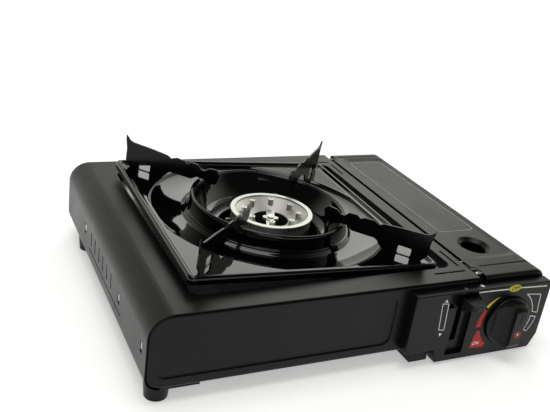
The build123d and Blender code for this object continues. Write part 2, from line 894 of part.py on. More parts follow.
def cartridge_saddles():
    """Two pressed saddles on the bay's floor that the cartridge lies in."""
    made = []
    for y in (bulkhead_y + 34, pusher_y - 45):
        saddle = along_y(bay_face(sheet + seat_play), y, saddle_depth)
        saddle -= rod(
            cartridge_x(), y - 1, cartridge_z() + 2 * gap, cartridge_radius - 2 * gap,
            saddle_depth + 2, "Y",
        )
        saddle -= box((0, 200), (-200, 200), (saddle_top, 200))
        made.append(saddle)
    return Compound(children=[solid for saddle in made for solid in saddle.solids()])


# ---- lid ----
def lid_face(inset):
    """Section of the lid's top and its right-hand skirt; an inset gives the inside, open on two sides."""
    left = hinge_x - lid_overlap - 5 * inset
    low = body_top - lid_skirt - 5 * inset
    points = [
        (left, low),
        (left, body_top - inset),
        (body_right - inset, body_top - inset),
        (body_right - inset, low),
    ]
    return outline(points, [0.3, 0.3, lid_edge_radius - inset, 0.3])


def lid_field(extra, low):
    """Block with sloped sides over the lid's sunk field, grown by an extra on every side."""
    width = lid_field_x[1] - lid_field_x[0] + 2 * extra
    length = lid_field_y[1] - lid_field_y[0] + 2 * extra
    middle = Pos(sum(lid_field_x) / 2, sum(lid_field_y) / 2, low)
    field = middle * RectangleRounded(width, length, lid_field_corner + extra)
    slope = -degrees(atan2(lid_slope, lid_field_depth))
    return extrude(field, amount=lid_field_depth + sheet, taper=slope)


def oval_dish(extra, top):
    """Tapered oval round the lid's hole, from the foot of its lip up to a height."""
    half_x = lid_hole_size[0] / 2 + extra
    half_y = lid_hole_size[1] / 2 + extra
    foot = Pos(lid_hole_x, lid_hole_y, body_top - lid_field_depth - lid_lip_depth)
    head = Pos(lid_hole_x, lid_hole_y, top)
    return loft(
        [foot * Ellipse(half_x, half_y), head * Ellipse(half_x + lid_hole_lip, half_y + lid_hole_lip)]
    )


def top_ends(block):
    """Two upper edges at the ends of the lid."""
    return block.edges().filter_by(Axis.X).group_by(Axis.Z)[-1]


def lid():
    """Bay cover with a sunk field, a dished oval hole and two hinge ears."""
    start = body_front + lid_play
    length = body_depth - 2 * lid_play
    field_top = body_top - lid_field_depth
    cover = along_y(lid_face(0), start, length)
    cover = fillet(top_ends(cover), lid_end_radius)
    hollow = along_y(lid_face(sheet), start + sheet, length - 2 * sheet)
    hollow = fillet(top_ends(hollow), lid_end_radius - sheet)
    hollow -= lid_field(sheet, field_top - sheet)
    hollow -= oval_dish(sheet, field_top - sheet / 2)
    cover -= hollow
    cover -= lid_field(0, field_top)
    cover -= oval_dish(0, field_top + 0.2)
    for y in (start, start + length - lid_end_radius):
        cover -= box(
            (seam_x, body_right + 1), (y, y + lid_end_radius), (0, body_top - lid_front_skirt)
        )
    for y in lid_rib_y:
        cover -= box(
            (lid_field_x[0] - lid_slope, body_right),
            (y - lid_rib_width / 2, y + lid_rib_width / 2),
            (body_top - lid_rib_depth, body_top + 1),
        )
    for side, end in ((1, body_front), (-1, body_back)):
        near = end + side * (hinge_inset + hinge_lug + 1)
        cover -= box(
            (seam_x, hinge_x + 3.0), (end - side, near), (body_top - lid_skirt - 1, body_top + 1)
        )
        cover += hinge_ear_solid(near, side)
        cover -= rod(
            hinge_x,
            min(near, near + side * hinge_ear) - 1,
            hinge_z,
            hinge_pin_radius + run,
            hinge_ear + 2,
            "Y",
        )
    return cover


def hinge_ear_solid(near, side):
    """Loop of the lid's sheet round the hinge pin."""
    start = min(near, near + side * hinge_ear)
    loop = rod(hinge_x, start, hinge_z, hinge_pin_radius + run + hinge_wall, hinge_ear, "Y")
    web = box(
        (hinge_x, hinge_x + hinge_web),
        (start, start + hinge_ear),
        (body_top - 2 * sheet, body_top - sheet / 2),
    )
    return loop + web


def hinge_pins():
    pins = []
    for side, end in ((1, body_front), (-1, body_back)):
        first = end + side * (hinge_inset - 4)
        last = end + side * (hinge_inset + hinge_lug + 1 + hinge_ear)
        pins.append(
            rod(hinge_x, min(first, last), hinge_z, hinge_pin_radius - 0.01, abs(last - first), "Y")
        )
    return Compound(children=pins)


# ---- control box, knob and lever ----
def fascia_face(inset):
    points = [
        (fascia_left + inset, fascia_step_z + inset),
        (fascia_left + inset, fascia_top - inset),
        (body_right - inset, fascia_top - inset),
        (body_right - inset, fascia_bottom + fascia_bevel),
        (body_right - 6 - inset, fascia_bottom + inset),
        (fascia_step_x + 3 + inset, fascia_bottom + inset),
        (fascia_step_x + inset, fascia_step_z + inset),
    ]
    return outline(points, [1.5, 1.5, 2.5, fascia_corner, 3, 1.5, 0.8])


def control_fascia():
    shell = along_y(fascia_face(0), fascia_front, fascia_proud)
    front_edges = shell.faces().sort_by(Axis.Y)[0].edges()
    shell = fillet(front_edges, 0.8)
    hollow = along_y(fascia_face(fascia_wall), fascia_front + fascia_wall, fascia_proud)
    channel = ((channel_x, channel_z), (channel_head_x, channel_head_z))
    for x, z in channel:
        hollow -= box(
            (x[0] - fascia_wall, x[1] + fascia_wall),
            (fascia_front, fascia_front + channel_depth + fascia_wall),
            (z[0] - fascia_wall, z[1] + fascia_wall),
        )
    hollow -= rod(
        knob_x, fascia_front, knob_z, knob_radius + fascia_wall, well_depth + fascia_wall, "Y"
    )
    shell -= hollow
    for x, z in channel:
        shell -= box(x, (fascia_front - 1, fascia_front + channel_depth), z)
    slot_low = lever_z - lever_travel - lever_stem_height / 2 - 0.6
    slot_high = lever_z + lever_stem_height / 2 + 0.6
    shell -= box(
        (lever_x - lever_slot / 2, lever_x + lever_slot / 2),
        (fascia_front - 1, fascia_front + 20),
        (slot_low, slot_high),
    )
    shell -= rod(knob_x, fascia_front - 1, knob_z, knob_radius + well_play, 1 + well_depth, "Y")
    shell -= rod(knob_x, fascia_front - 1, knob_z, spindle_radius + 0.8, 20, "Y")
    for x in fascia_screw_x:
        shell -= rod(x, fascia_front + fascia_proud / 2, fascia_top - 4, screw_radius, 6)
    return shell


def fascia_screws():
    made = []
    for x in fascia_screw_x:
        y = fascia_front + fascia_proud / 2
        made.append(
            rod(x, y, fascia_top - 4, screw_radius - run, 4)
            + rod(x, y, fascia_top, fascia_screw_head, screw_head_height / 2)
        )
    return Compound(children=[solid for screw in made for solid in screw.solids()])


def control_knob():
    """Round dial with a straight grip across it and scooped flanks."""
    back = fascia_front + well_depth - gap
    base = rod(knob_x, back - knob_base, knob_z, knob_radius, knob_base, "Y")
    base = fillet(base.edges().group_by(Axis.Y)[0], 1.8)
    drum_radius = knob_radius - 1.8
    drum = rod(knob_x, knob_face, knob_z, drum_radius, back - knob_base - knob_face, "Y")
    drum = fillet(drum.edges().group_by(Axis.Y)[0], knob_round)
    knob = base + drum
    for side in (-1, 1):
        scoop = rod(
            knob_x + side * (knob_grip / 2 + scoop_radius), knob_face, knob_z - knob_radius,
            scoop_radius, 2 * knob_radius,
        )
        block = box(
            (knob_x + side * knob_grip / 2, knob_x + side * 2 * knob_radius),
            (knob_face - scoop_radius, back - knob_base),
            (knob_z - knob_radius, knob_z + knob_radius),
        )
        knob -= block & scoop
    marker_high = knob_z + drum_radius - knob_round
    knob -= box(
        (knob_x - marker_width / 2, knob_x + marker_width / 2),
        (knob_face - 1, knob_face + marker_depth),
        (marker_high - marker_length, marker_high),
    )
    return knob - rod(
        knob_x, knob_face + spindle_cover, knob_z, spindle_radius + press_play, 40, "Y"
    )


def lock_lever():
    """Lever cap in front, its stem through the slot and the fork that turns the crank."""
    rear = fascia_front - gap
    tip = fascia_front - lever_proud
    plan = outline(
        [(tab_rear_x[0], rear), (tab_rear_x[1], rear), (tab_tip_x[1], tip), (tab_tip_x[0], tip)],
        [0.5, 0.5, 3.0, 4.0],
    )
    wedge = make_face(Polyline(
        (rear + 1, tab_top + tab_fall / lever_proud),
        (tip - 1, tab_top - tab_fall),
        (tip - 1, tab_top - tab_fall - tab_edge),
        (rear + 1, tab_top - tab_root),
        close=True,
    ))
    across = Plane(origin=(0, 0, 0), x_dir=(0, 1, 0), z_dir=(1, 0, 0))
    cap = Pos(0, 0, tab_top - 2 * tab_root) * extrude(plan, amount=3 * tab_root)
    cap &= extrude(across * wedge, amount=body_right, dir=(1, 0, 0))
    stem_half = lever_stem_height / 2
    stem = box(
        (lever_x - lever_stem / 2, lever_x + lever_stem / 2),
        (fascia_front - gap - 0.2, body_front + sheet + gap + 1),
        (lever_z - stem_half, lever_z + stem_half),
    )
    block = box(
        (lever_x - lever_stem / 2, crank_x + crank_sheet + 1),
        (body_front + sheet + gap, crank_tip_rest_y() + 0.8),
        (lever_z - stem_half - 1, lever_z + stem_half + 1),
    )
    fork = box(
        (crank_x - gap, crank_x + crank_sheet + 2),
        (crank_y - crank_long - crank_tip - fork_play, crank_tip_rest_y() + 2),
        (lever_z - crank_tip - fork_play, lever_z + crank_tip + fork_play),
    )
    return cap + stem + (block - fork)


def crank_tip_rest_y():
    return crank_y - crank_long * cos(radians(crank_swing / 2))


def lock_crank():
    """Bell crank: a long arm to the lever's fork and a short arm up to the bar."""
    half = crank_swing / 2
    long_end = crank_long - 8
    section = Circle(crank_hub)
    section += Pos(-long_end / 2, 0) * Rectangle(long_end, 6)
    section += Pos(-crank_long / 2, 0) * Rectangle(crank_long, 2.0)
    section += Pos(-crank_long, 0) * Circle(crank_tip)
    section += Pos(0, crank_short / 2) * Rectangle(2.4, crank_short)
    section += Pos(0, crank_short) * Circle(crank_tip)
    section -= Circle(crank_pin_radius + run)
    side = Plane(origin=(crank_x, 0, 0), x_dir=(0, 1, 0), z_dir=(1, 0, 0))
    flat = extrude(side * section, amount=crank_sheet, dir=(1, 0, 0))
    return Pos(0, crank_y, crank_z) * Rot(-half, 0, 0) * flat


def crank_pin():
    end = seam_x + bay_gap + sheet
    pin = rod(crank_x - 1.5, crank_y, crank_z, crank_pin_radius, end - crank_x + 1.5, "X")
    head = rod(crank_x - 3.0, crank_y, crank_z, crank_pin_radius + 1.5, 2.7, "X")
    collar = rod(crank_x + crank_sheet + gap, crank_y, crank_z, crank_pin_radius + 1.2,
                 seam_x + bay_gap - crank_x - crank_sheet - gap, "X")
    return pin + head + collar


def lock_bar():
    """Flat bar along the bay whose lug follows the crank's short arm."""
    rest = radians(crank_swing / 2)
    tip_y = crank_y + crank_short * sin(rest)
    tip_z = crank_z + crank_short * cos(rest)
    slot = crank_tip + 0.15
    lug_y = (tip_y - slot - 2.5, tip_y + slot + 2.2)
    bar = box((bar_x, bar_x + bar_sheet), (lug_y[0], bar_back_y), bar_z)
    lug = box((crank_x - 1, bar_x), lug_y, (crank_z + crank_hub + 0.35, bar_z[1]))
    lug -= box(
        (crank_x - 2, crank_x + crank_sheet + gap),
        (tip_y - slot, tip_y + slot),
        (tip_z - 5, crank_z + crank_short + slot),
    )
    return bar + lug


def cartridge_pusher():
    """Plate behind the cartridge, fixed to the end of the bar through the bay's wall."""
    plate = box(
        (bar_x + bar_sheet, cartridge_x() + 18),
        (pusher_y, pusher_y + pusher_sheet),
        (bar_z[0] - 24, bar_z[1]),
    )
    return chamfer(plate.edges().filter_by(Axis.Y).sort_by(Axis.X)[-2:], 8)


# ---- pan, collar and pot supports ----
def on_pan(shape):
    return Pos(pan_x, pan_y, pan_rim_z) * Rot(pan_pitch, 0, 0) * Rot(0, pan_roll, 0) * shape


def drip_pan():
    """Square enamelled pan: beaded rim, sloped border, round dish and a raised neck."""
    half = pan_size / 2
    under = -pan_floor - pan_sheet
    slope_taper = -degrees(atan2(pan_slope, pan_floor))
    block = slab(pan_size, pan_size, (-pan_skirt, 0), pan_corner)
    block = fillet(block.faces().sort_by(Axis.Z)[-1].edges(), pan_bead)
    floor_size = 2 * pan_floor_half
    field = Pos(0, 0, -pan_floor) * RectangleRounded(floor_size, floor_size, pan_corner)
    block -= extrude(field, amount=pan_floor, taper=slope_taper)
    below = pan_size - 2 * pan_sheet
    block -= slab(below, below, (-pan_skirt - 1, under), pan_corner - pan_sheet)
    block -= rod(0, 0, -20, dish_radius, 40)
    dish = [
        (neck_inner, neck_top),
        (neck_radius, neck_top),
        (neck_foot_radius, -dish_depth),
        (dish_foot_radius, -dish_depth),
        (dish_bend_radius, -dish_bend_depth),
        (dish_radius, -pan_floor),
        (dish_radius + 0.3, -pan_floor),
    ]
    block += spun_sheet(dish, pan_sheet)
    placed = on_pan(block)
    lug_height = 14.0
    for side, seat in ((-1, body_top), (1, liner_top)):
        for y in (-pan_lug_offset, pan_lug_offset):
            lug = box(
                (side * half, side * (half - pan_sheet)),
                (y - pan_lug_width / 2, y + pan_lug_width / 2),
                (-pan_skirt - lug_height, -pan_skirt),
            )
            placed += on_pan(lug) - box((-200, 200), (-200, 200), (0, seat + lug_play))
    return placed


def wind_collar():
    """Ring round the burner: rolled rim, stepped outside and a dark bowl inside."""
    section = [
        (bowl_radius, -bowl_depth - 1),
        (bowl_radius + 4, -bowl_depth + 1),
        (bowl_radius + 10, 7 - bowl_depth),
        (collar_radius - 4.5, collar_top - 6.6),
        (collar_radius - 1.7, collar_top - 1.2),
        (collar_radius - 0.6, collar_top),
        (collar_radius + 0.6, collar_top),
        (collar_radius + 1.3, collar_top - 1.2),
        (collar_radius + 2.4, collar_foot + 1.0),
        (collar_radius + 3.2, collar_foot),
        (collar_radius + 4.2, collar_foot),
    ]
    return on_pan(spun_sheet(section, collar_sheet))


def pot_support(i):
    """Upright plate on the pan's diagonal: stepped top, turned-up tip, arch, window and finger."""
    points = [
        (collar_radius - 2.0, collar_top + 0.7),
        (56.5, 4.8),
        (50.0, 8.6),
        (48.3, 16.0),
        (52.0, 19.6),
        (58.5, 18.8),
        (63.0, 15.6),
        (66.5, 15.8),
        (69.6, 19.2),
        (76.0, 19.4),
        (79.5, 17.0),
        (83.0, 18.9),
        (91.0, 19.2),
        (96.0, 16.9),
        (99.6, 18.9),
        (114.0, 20.1),
        (134.0, 21.0),
        (137.8, 22.2),
        (141.3, 26.0),
        (141.3, 23.0),
        (139.6, 14.0),
        (139.6, 3.0),
        (135.0, -pan_floor),
        (101.9, -pan_floor),
        (98.6, 0.8),
        (97.0, 3.2),
        (94.0, 4.6),
        (74.5, 4.6),
        (69.0, collar_top + 0.6),
        (collar_radius, collar_top + 0.1),
    ]
    face = make_face(Polyline(*points, close=True))
    face -= Pos(120.4, 1.6) * RectangleRounded(11.4, 7.0, 1.2)
    face = scale(face, by=(arm_reach / arm_drawn_reach, 1, 1))
    plate = along_y(face, -arm_sheet / 2, arm_sheet)
    return on_pan(Rot(0, 0, 45 + 90 * i) * plate)


# ---- screws ----
def screw_group(places, axis, sign):
    """Pan-head screws whose heads lie on a face; sign points from the face to the head."""
    made = []
    for x, y, z in places:
        shift = {"X": (1, 0, 0), "Y": (0, 1, 0), "Z": (0, 0, 1)}[axis]
        start = 0 if sign > 0 else -screw_head_height
        made.append(
            rod(
                x + shift[0] * start, y + shift[1] * start, z + shift[2] * start,
                screw_head, screw_head_height, axis,
            )
        )
    return Compound(children=made)


def back_screws():
    """Four screws in the back panel's pressed field."""
    face = body_back - panel_recess
    places = [(x, face, z) for x in (body_left + 20, seam_x - 20) for z in (26.0, 58.0)]
    return screw_group(places, "Y", 1)


def base_screws():
    z = panel_bottom + sheet + gap
    places = [(x, y, z) for x in (-120, -40, 20) for y in (body_front + 7, body_back - 7)]
    return screw_group(places, "Z", -1)


def cover_screws():
    """Three screws round the diaphragm cover, clear of the igniter."""
    y = bulkhead_y - regulator_depth - cover_depth
    places = []
    for turn in (90, 180, 270):
        angle = radians(turn)
        places.append(
            (knob_x + cover_screw_circle * cos(angle), y, knob_z + cover_screw_circle * sin(angle))
        )
    return screw_group(places, "Y", -1)


# ---- nodes ----
nodes = {
    "top_shell": top_shell,
    "front_panel": front_panel,
    "back_panel": back_panel,
    "base_tray": base_tray,
    "liner_plate": liner_plate,
    "heat_shield": heat_shield,
    "burner_bracket": burner_bracket,
    "burner_body": burner_body,
    "burner_cap": burner_cap,
    "burner_screw": burner_screw,
    "mixing_tube": mixing_tube,
    "gas_jet": gas_jet,
    "gas_pipe": gas_pipe,
    "regulator_body": regulator_body,
    "regulator_cover": regulator_cover,
    "cover_screws": cover_screws,
    "bulkhead": bulkhead,
    "valve_spindle": valve_spindle,
    "piezo_igniter": piezo_igniter,
    "ignition_lead": ignition_lead,
    "electrode_ceramic": electrode_ceramic,
    "electrode_pin": electrode_pin,
    "bay_tray": bay_tray,
    "cartridge_saddles": cartridge_saddles,
    "lid": lid,
    "hinge_pins": hinge_pins,
    "control_fascia": control_fascia,
    "fascia_screws": fascia_screws,
    "control_knob": control_knob,
    "lock_lever": lock_lever,
    "lock_crank": lock_crank,
    "crank_pin": crank_pin,
    "lock_bar": lock_bar,
    "cartridge_pusher": cartridge_pusher,
    "drip_pan": drip_pan,
    "wind_collar": wind_collar,
    "back_screws": back_screws,
    "base_screws": base_screws,
}
for node, build in nodes.items():
    save(node, build())
for node, solid in feet().items():
    save(node, solid)
for i in range(arm_count):
    save("pot_support_%d" % (i + 1), pot_support(i))
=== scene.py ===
import json
import math

import bpy
import numpy as np
from mathutils import Matrix, Vector


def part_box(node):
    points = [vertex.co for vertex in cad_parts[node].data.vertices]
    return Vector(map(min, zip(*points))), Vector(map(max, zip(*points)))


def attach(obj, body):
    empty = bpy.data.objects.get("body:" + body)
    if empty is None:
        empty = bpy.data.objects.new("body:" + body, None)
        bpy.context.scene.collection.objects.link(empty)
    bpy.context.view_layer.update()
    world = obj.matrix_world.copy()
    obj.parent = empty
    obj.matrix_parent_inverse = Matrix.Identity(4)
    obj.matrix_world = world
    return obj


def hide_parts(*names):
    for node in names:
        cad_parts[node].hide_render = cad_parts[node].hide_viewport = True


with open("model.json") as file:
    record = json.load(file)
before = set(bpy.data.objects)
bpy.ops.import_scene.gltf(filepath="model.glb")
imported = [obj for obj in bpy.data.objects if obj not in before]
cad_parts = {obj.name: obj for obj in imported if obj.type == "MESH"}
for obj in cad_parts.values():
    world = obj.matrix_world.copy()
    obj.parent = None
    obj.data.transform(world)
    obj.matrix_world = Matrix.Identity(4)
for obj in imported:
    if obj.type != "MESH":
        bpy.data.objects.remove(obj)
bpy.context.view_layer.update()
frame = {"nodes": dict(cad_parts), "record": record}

# Portable butane cassette stove. Lengths are in metres; MM turns millimetres into them.
# +X is the cartridge side, -Y the front with the controls, +Z up, the table at height 0.
MM = 0.001
nodes = frame["nodes"]


# ---- places read from the frame ----
def corners(node):
    """Lowest and highest corner of a solid's box."""
    low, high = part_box(node)
    return np.array(low), np.array(high)


fascia_low, fascia_high = corners("control_fascia")
knob_low, knob_high = corners("control_knob")
cap_low, cap_high = corners("burner_cap")
body_top = corners("top_shell")[1][2]
lid_top = corners("lid")[1][2]

fascia_front = fascia_low[1]
knob_middle = (knob_low + knob_high) / 2
burner_middle = (cap_low + cap_high) / 2

# The pan sits askew: its left edge rides on the body's top. Its rim is placed from the burner's
# axis and the body's top.
pan_offset = np.array([-3.9, -0.2, 8.0]) * MM
pan_middle = np.array([burner_middle[0], burner_middle[1], body_top]) + pan_offset
pan_roll = math.radians(2.85)
pan_pitch = math.radians(0.8)


# ---- surfaces ----
def put_on_pan(points):
    """Turns points of the pan's own frame, height 0 at its rim, into the stove's: rolled about the
    front-to-back axis, pitched about the left-to-right one, then moved to the pan's middle."""
    turn = np.array(Matrix.Rotation(pan_pitch, 3, "X") @ Matrix.Rotation(pan_roll, 3, "Y"))
    return points @ turn.T + pan_middle


def surface(name, points, around=True, outward=True):
    """Mesh over a grid of points [along, across, 3]; around joins the last column to the first, and
    outward is turned off where the grid's own order would face the surface inwards."""
    rows, columns = points.shape[:2]
    steps = columns if around else columns - 1
    row, column = np.meshgrid(np.arange(rows - 1), np.arange(steps), indexing="ij")
    beside = (column + 1) % columns
    faces = np.stack(
        [row * columns + column, row * columns + beside,
         (row + 1) * columns + beside, (row + 1) * columns + column], axis=-1
    ).reshape(-1, 4)
    if not outward:
        faces = faces[:, ::-1]
    mesh = bpy.data.meshes.new(name)
    mesh.from_pydata(points.reshape(-1, 3).tolist(), [], faces.tolist())
    mesh.polygons.foreach_set("use_smooth", np.ones(len(mesh.polygons), bool))
    mesh.update()
    made = bpy.data.objects.new(name, mesh)
    bpy.context.scene.collection.objects.link(made)
    return made


def join(name, pieces):
    """One object out of several, named for the piece they make."""
    bpy.ops.object.select_all(action="DESELECT")
    for piece in pieces:
        piece.select_set(True)
    bpy.context.view_layer.objects.active = pieces[0]
    if len(pieces) > 1:
        bpy.ops.object.join()
    pieces[0].name = name
    pieces[0].data.name = name
    return pieces[0]


def rounded(path, times):
    """Path with its corners cut: each step puts points a quarter in from both ends of every run."""
    path = np.asarray(path, float)
    for _ in range(times):
        near = 0.75 * path[:-1] + 0.25 * path[1:]
        far = 0.25 * path[:-1] + 0.75 * path[1:]
        middle = np.stack([near, far], axis=1).reshape(-1, *path.shape[1:])
        path = np.concatenate([path[:1], middle, path[-1:]])
    return path


def spun(profile, count):
    """Surface of revolution: every point of a radius-and-height profile turned about +Z."""
    turn = np.linspace(0, 2 * np.pi, count, endpoint=False)
    radius = profile[:, 0, None]
    height = np.broadcast_to(profile[:, 1, None], (len(profile), count))
    return np.stack([radius * np.cos(turn), radius * np.sin(turn), height], axis=-1)


def square_radius(turn, half, corner):
    """Distance from the middle to a rounded square, by direction: half the width over the larger of
    the direction's two parts on a straight side, and the far root of the circle's equation where
    the direction meets a corner's arc."""
    cosine, sine = np.abs(np.cos(turn)), np.abs(np.sin(turn))
    larger, smaller = np.maximum(cosine, sine), np.minimum(cosine, sine)
    side = half / larger
    centre = half - corner
    nearest = centre * (larger + smaller)
    round_part = nearest + np.sqrt(np.maximum(nearest ** 2 - 2 * centre ** 2 + corner ** 2, 0))
    return np.where(side * smaller <= centre, side, round_part)


def thicken(piece, thickness):
    """Gives a drawn outer face its sheet, on the inner side."""
    sheet = piece.modifiers.new("sheet thickness", "SOLIDIFY")
    sheet.thickness = thickness
    sheet.offset = -1
    sheet.use_even_offset = True


# ---- camera ----
VIEW_ANGLES = (-27.67794, 23.54220, 8.34115)  # azimuth, elevation and roll, in degrees
VIEW_PLACE = (-299.65, -518.82, 341.43)  # millimetres
LENS, SENSOR = 49.58, 36  # focal length and sensor width, in millimetres


def look():
    """Camera whose back points along the azimuth and elevation, rolled about its own axis."""
    azimuth, elevation, roll = (math.radians(angle) for angle in VIEW_ANGLES)
    back = Vector((
        math.sin(azimuth) * math.cos(elevation),
        -math.cos(azimuth) * math.cos(elevation),
        math.sin(elevation),
    ))
    level = (-back).cross(Vector((0, 0, 1))).normalized()
    upward = level.cross(-back)
    right = math.cos(roll) * level + math.sin(roll) * upward
    up = -math.sin(roll) * level + math.cos(roll) * upward
    place = Matrix((right, up, back)).transposed().to_4x4()
    place.translation = Vector(VIEW_PLACE) * MM
    camera = bpy.data.cameras.new("camera")
    camera.sensor_width = SENSOR
    camera.lens = LENS
    holder = bpy.data.objects.new("camera", camera)
    holder.matrix_world = place
    bpy.context.scene.collection.objects.link(holder)
    bpy.context.scene.camera = holder


look()


# ---- materials ----
# Sockets of the Mix node that share their names: the share, two numbers, two colours.
SHARE, NUMBER_A, NUMBER_B, COLOUR_A, COLOUR_B = 0, 2, 3, 6, 7
CLOUD = 40.0  # width of the faint clouds in a coat, in millimetres


def linear(code):
    """Scene colour of an sRGB hex value."""
    parts = [int(code[i:i + 2], 16) / 255 for i in (1, 3, 5)]
    return [v / 12.92 if v <= 0.04045 else ((v + 0.055) / 1.055) ** 2.4 for v in parts] + [1.0]


def add(material, kind, inputs=None, **settings):
    """Adds a node: settings are its own choices, inputs are values or the sockets that feed it."""
    made = material.node_tree.nodes.new(kind)
    for key, value in settings.items():
        setattr(made, key, value)
    for key, value in (inputs or {}).items():
        if isinstance(value, bpy.types.NodeSocket):
            material.node_tree.links.new(value, made.inputs[key])
        else:
            made.inputs[key].default_value = value
    return made


def per_mm(size):
    """Texture scale for features of a size in millimetres."""
    return 1 / (size * MM)


def blank(name):
    """Material with an empty node tree."""
    material = bpy.data.materials.new(name)
    material.use_nodes = True
    material.node_tree.nodes.clear()
    return material


def coated(name, colour, worn_and_sheen, roughness, grain, grain_height, edge=0.0, specular=0.5):
    """Coat over steel, or a moulded skin: gloss clouded slightly and fine bumps, with grain, its
    height and edge in millimetres. The second colour shows a little in the clouds or, where there
    is an edge radius, along corners, which are rounded and painted paler: partly rubbed wear and
    partly a painted highlight. Specular is the strength of its reflection, 0.5 for a plain clear
    film."""
    coat = blank(name)
    place = add(coat, "ShaderNodeTexCoord").outputs["Object"]
    clouds = add(coat, "ShaderNodeTexNoise", {"Vector": place, "Scale": per_mm(CLOUD),
                                              "Detail": 4.0})
    grains = add(coat, "ShaderNodeTexNoise", {"Vector": place, "Scale": per_mm(grain),
                                              "Detail": 2.0})
    # The clouds' noise stays mostly between 0.3 and 0.7.
    gloss = add(coat, "ShaderNodeMapRange", {"Value": clouds.outputs["Fac"], "From Min": 0.3,
                                             "From Max": 0.7, "To Min": roughness * 0.9,
                                             "To Max": roughness * 1.12})
    bumps = {"Strength": 0.5, "Distance": grain_height * MM, "Height": grains.outputs["Fac"]}
    if edge:
        soft = add(coat, "ShaderNodeBevel", {"Radius": edge * MM}, samples=6)
        sharp = add(coat, "ShaderNodeNewGeometry")
        facing = add(coat, "ShaderNodeVectorMath",
                     {0: soft.outputs[0], 1: sharp.outputs["Normal"]}, operation="DOT_PRODUCT")
        # 1 on a flat face, less where the rounded corner turns away from it. There the colour is
        # painted paler: partly rubbed wear, partly a painted highlight.
        wear_and_sheen = add(coat, "ShaderNodeMapRange", {"Value": facing.outputs["Value"],
                                                "From Min": 0.98, "From Max": 0.75,
                                                "To Max": 0.4})
        bumps["Normal"] = soft.outputs[0]
    else:
        wear_and_sheen = add(coat, "ShaderNodeMapRange", {"Value": clouds.outputs["Fac"], "From Min": 0.4,
                                                "From Max": 0.9, "To Max": 0.12})
    bump = add(coat, "ShaderNodeBump", bumps)
    tone = add(coat, "ShaderNodeMix", {SHARE: wear_and_sheen.outputs[0], COLOUR_A: linear(colour),
                                       COLOUR_B: linear(worn_and_sheen)}, data_type="RGBA")
    shader = add(coat, "ShaderNodeBsdfPrincipled", {
        "Base Color": tone.outputs[2], "Roughness": gloss.outputs[0], "Normal": bump.outputs[0],
        "Specular IOR Level": specular,
    })
    add(coat, "ShaderNodeOutputMaterial", {"Surface": shader.outputs[0]})
    return coat


def metal(name, colour, dark, roughness, grain, grain_height, spangled=False, bare=1.0):
    """Metal with its grain, or zinc spangle, in colour, gloss and height; grain and its height are
    in millimetres, and bare is the share not dulled by a pale oxide."""
    stock = blank(name)
    place = add(stock, "ShaderNodeTexCoord").outputs["Object"]
    if spangled:
        cells = add(stock, "ShaderNodeTexVoronoi", {"Vector": place, "Scale": per_mm(grain)})
        value = add(stock, "ShaderNodeSeparateColor", {"Color": cells.outputs["Color"]}).outputs[0]
    else:
        value = add(stock, "ShaderNodeTexNoise", {"Vector": place, "Scale": per_mm(grain),
                                                  "Detail": 5.0}).outputs["Fac"]
    tone = add(stock, "ShaderNodeMix", {SHARE: value, COLOUR_A: linear(dark),
                                        COLOUR_B: linear(colour)}, data_type="RGBA")
    gloss = add(stock, "ShaderNodeMapRange", {"Value": value, "To Min": roughness * 1.2,
                                              "To Max": roughness * 0.8})
    bump = add(stock, "ShaderNodeBump", {"Strength": 0.6, "Distance": grain_height * MM,
                                         "Height": value})
    shader = add(stock, "ShaderNodeBsdfPrincipled", {
        "Base Color": tone.outputs[2], "Metallic": bare, "Roughness": gloss.outputs[0],
        "Normal": bump.outputs[0],
    })
    add(stock, "ShaderNodeOutputMaterial", {"Surface": shader.outputs[0]})
    return stock


# Polyester powder coat, oven cured: satin black with a fine orange peel. Its corners are
# painted paler, partly as rubbed wear and partly as a painted highlight.
powder_coat = coated("satin black powder coat", "#0c0c0b", "#2a2a28", roughness=0.33,
                     grain=1.1, grain_height=0.03, edge=0.9, specular=0.2)
# Vitreous enamel fired on steel: deep gloss, very slightly wavy.
enamel = coated("black vitreous enamel", "#040404", "#0c0c0b", roughness=0.05,
                grain=14.0, grain_height=0.02, specular=0.42)
# Thinner enamel on the cut plates: duller and a little brown from the flame.
support_enamel = coated("dulled black enamel", "#060606", "#1c1b1a", roughness=0.22,
                        grain=2.0, grain_height=0.02, specular=0.22)
# Hot-dip galvanised sheet: zinc spangle a few millimetres across.
galvanised = metal("galvanised sheet", "#d2d5d6", "#bcc0c2", roughness=0.34,
                   grain=3.5, grain_height=0.01, spangled=True, bare=0.65)
# Die-cast aluminium, as cast: pale, even, slightly grainy.
cast_aluminium = metal("cast aluminium", "#d2d1cb", "#b0afa9", roughness=0.42,
                       grain=0.9, grain_height=0.03)
# The same casting under the cap, browned and sooted by the flame.
burnt_aluminium = metal("sooted cast aluminium", "#6a655c", "#2f2c28", roughness=0.6,
                        grain=2.5, grain_height=0.03)
# Zinc die casting, dull grey.
die_cast = metal("zinc die casting", "#9b9c9b", "#7f807f", roughness=0.5,
                 grain=1.2, grain_height=0.03)
# Zinc-plated steel of screws and pins: bright and smooth.
plated = metal("zinc plated steel", "#d9dadb", "#bcbdbf", roughness=0.22,
               grain=0.8, grain_height=0.005)
# Brass, turned on a lathe: warm and bright.
brass = metal("turned brass", "#d8b468", "#b08a45", roughness=0.25,
              grain=0.8, grain_height=0.005)
# Injection-moulded ABS with a fine spark-eroded skin: satin black. Its corners are painted
# paler, partly as rubbed wear and partly as a painted highlight.
abs_black = coated("moulded black ABS", "#0b0c0c", "#262929", roughness=0.34,
                   grain=0.45, grain_height=0.03, edge=0.5, specular=0.22)
# The same ABS in red, for the igniter's body.
abs_red = coated("moulded red ABS", "#8c1b14", "#a84038", roughness=0.42,
                 grain=0.45, grain_height=0.02)
# Silicone sleeve of the ignition lead, extruded: soft grey-black.
silicone = coated("silicone lead sleeve", "#26282a", "#3a3c3e", roughness=0.55,
                  grain=0.6, grain_height=0.02)
